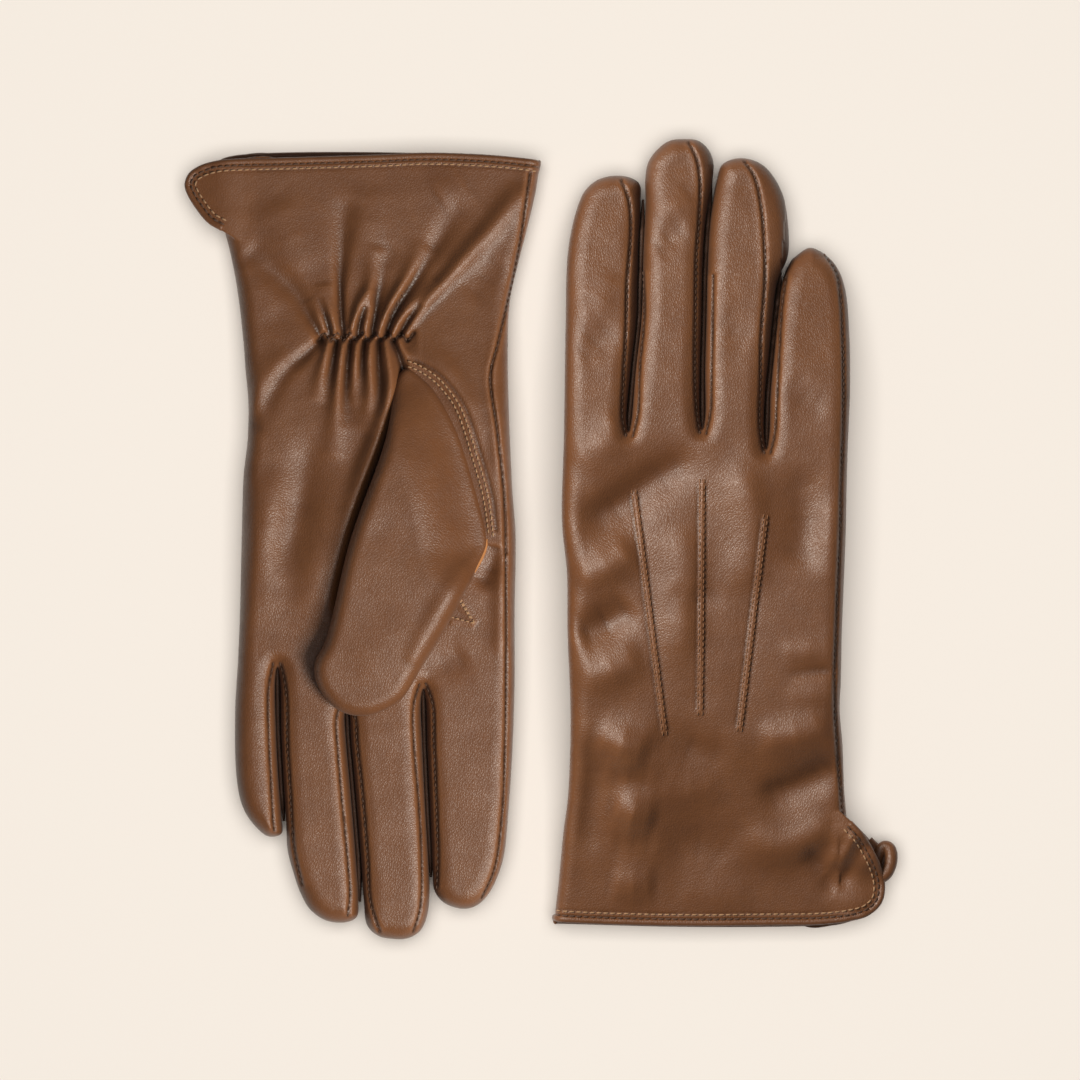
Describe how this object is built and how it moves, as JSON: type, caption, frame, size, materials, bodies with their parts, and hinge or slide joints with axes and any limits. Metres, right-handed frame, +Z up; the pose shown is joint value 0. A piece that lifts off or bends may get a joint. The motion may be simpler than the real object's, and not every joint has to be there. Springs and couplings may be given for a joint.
{
  "type": "leather gloves",
  "caption": "Pair of short lined leather driving gloves with stitched points on the back, elasticated inner wrist and a vented cuff, laid flat side by side.",
  "frame": {"origin": "middle of the pair on the surface it lies on", "axes": "+Z up from the surface, +Y towards the right glove's fingertips, +X towards the right glove"},
  "size_m": [0.2168, 0.2431, 0.027],
  "materials": {
    "leather": "smooth satin brown leather with a fine grain",
    "lining": "knitted brown lining",
    "stitching": "tan thread",
    "elastic": "narrow woven elastic"
  },
  "bodies": {
    "left_hand": {"left_back_panel": "leather", "left_cuff_facing": "leather", "left_cuff_stitching": "stitching", "left_fourchette_crotches": "leather", "left_hand_lining": "lining", "left_palm_panel": "leather", "left_point_stitching": "stitching", "left_thumb_gusset": "leather", "left_thumb_seam_stitching": "stitching", "left_wrist_elastic": "elastic"},
    "left_index": {"left_index_back": "leather", "left_index_fourchette": "leather", "left_index_lining": "lining", "left_index_palm": "leather"},
    "left_middle": {"left_middle_back": "leather", "left_middle_fourchettes": "leather", "left_middle_lining": "lining", "left_middle_palm": "leather"},
    "left_ring": {"left_ring_back": "leather", "left_ring_fourchettes": "leather", "left_ring_lining": "lining", "left_ring_palm": "leather"},
    "left_little": {"left_little_back": "leather", "left_little_fourchette": "leather", "left_little_lining": "lining", "left_little_palm": "leather"},
    "left_thumb": {"left_thumb_front": "leather", "left_thumb_back": "leather", "left_thumb_lining": "lining"},
    "right_hand": {"right_back_panel": "leather", "right_cuff_facing": "leather", "right_cuff_stitching": "stitching", "right_fourchette_crotches": "leather", "right_hand_lining": "lining", "right_palm_panel": "leather", "right_point_stitching": "stitching", "right_thumb_gusset": "leather", "right_thumb_seam_stitching": "stitching", "right_wrist_elastic": "elastic"},
    "right_index": {"right_index_back": "leather", "right_index_fourchette": "leather", "right_index_lining": "lining", "right_index_palm": "leather"},
    "right_middle": {"right_middle_back": "leather", "right_middle_fourchettes": "leather", "right_middle_lining": "lining", "right_middle_palm": "leather"},
    "right_ring": {"right_ring_back": "leather", "right_ring_fourchettes": "leather", "right_ring_lining": "lining", "right_ring_palm": "leather"},
    "right_little": {"right_little_back": "leather", "right_little_fourchette": "leather", "right_little_lining": "lining", "right_little_palm": "leather"},
    "right_thumb": {"right_thumb_front": "leather", "right_thumb_back": "leather", "right_thumb_lining": "lining"}
  },
  "joints": [
    {"name": "left_index_bend", "type": "hinge", "parent": "left_hand", "child": "left_index", "pos_m": [-0.02135, -0.0521, 0.0066], "axis": [-1, 0, 0], "range_deg": [0, 60]},
    {"name": "left_middle_bend", "type": "hinge", "parent": "left_hand", "child": "left_middle", "pos_m": [-0.04565, -0.0561, 0.0066], "axis": [-1, 0, 0], "range_deg": [0, 60]},
    {"name": "left_ring_bend", "type": "hinge", "parent": "left_hand", "child": "left_ring", "pos_m": [-0.0681, -0.0561, 0.0066], "axis": [-1, 0, 0], "range_deg": [0, 60]},
    {"name": "left_little_bend", "type": "hinge", "parent": "left_hand", "child": "left_little", "pos_m": [-0.0871, -0.0481, 0.0066], "axis": [-1, 0, 0], "range_deg": [0, 50]},
    {"name": "right_index_bend", "type": "hinge", "parent": "right_hand", "child": "right_index", "pos_m": [0.01735, 0.0521, 0.01609], "axis": [1, 0, 0], "range_deg": [0, 40]},
    {"name": "right_middle_bend", "type": "hinge", "parent": "right_hand", "child": "right_middle", "pos_m": [0.03965, 0.0561, 0.01604], "axis": [1, 0, 0], "range_deg": [0, 40]},
    {"name": "right_ring_bend", "type": "hinge", "parent": "right_hand", "child": "right_ring", "pos_m": [0.06095, 0.0561, 0.01604], "axis": [1, 0, 0], "range_deg": [0, 40]},
    {"name": "right_little_bend", "type": "hinge", "parent": "right_hand", "child": "right_little", "pos_m": [0.08295, 0.0481, 0.01613], "axis": [1, 0, 0], "range_deg": [0, 40]},
    {"name": "left_thumb_fold", "type": "hinge", "parent": "left_hand", "child": "left_thumb", "pos_m": [-0.03075, 0.059, 0.0153], "axis": [-0.3579, 0.9338, 0], "range_deg": [0, 65]},
    {"name": "right_thumb_swing", "type": "hinge", "parent": "right_hand", "child": "right_thumb", "pos_m": [0.03405, -0.0459, 0.0045], "axis": [0, 0, 1], "range_deg": [0, 28]},
    {"name": "gloves_apart", "type": "slide", "parent": "left_hand", "child": "right_hand", "axis": [1, 0, 0], "range_m": [0, 0.06]}
  ]
}
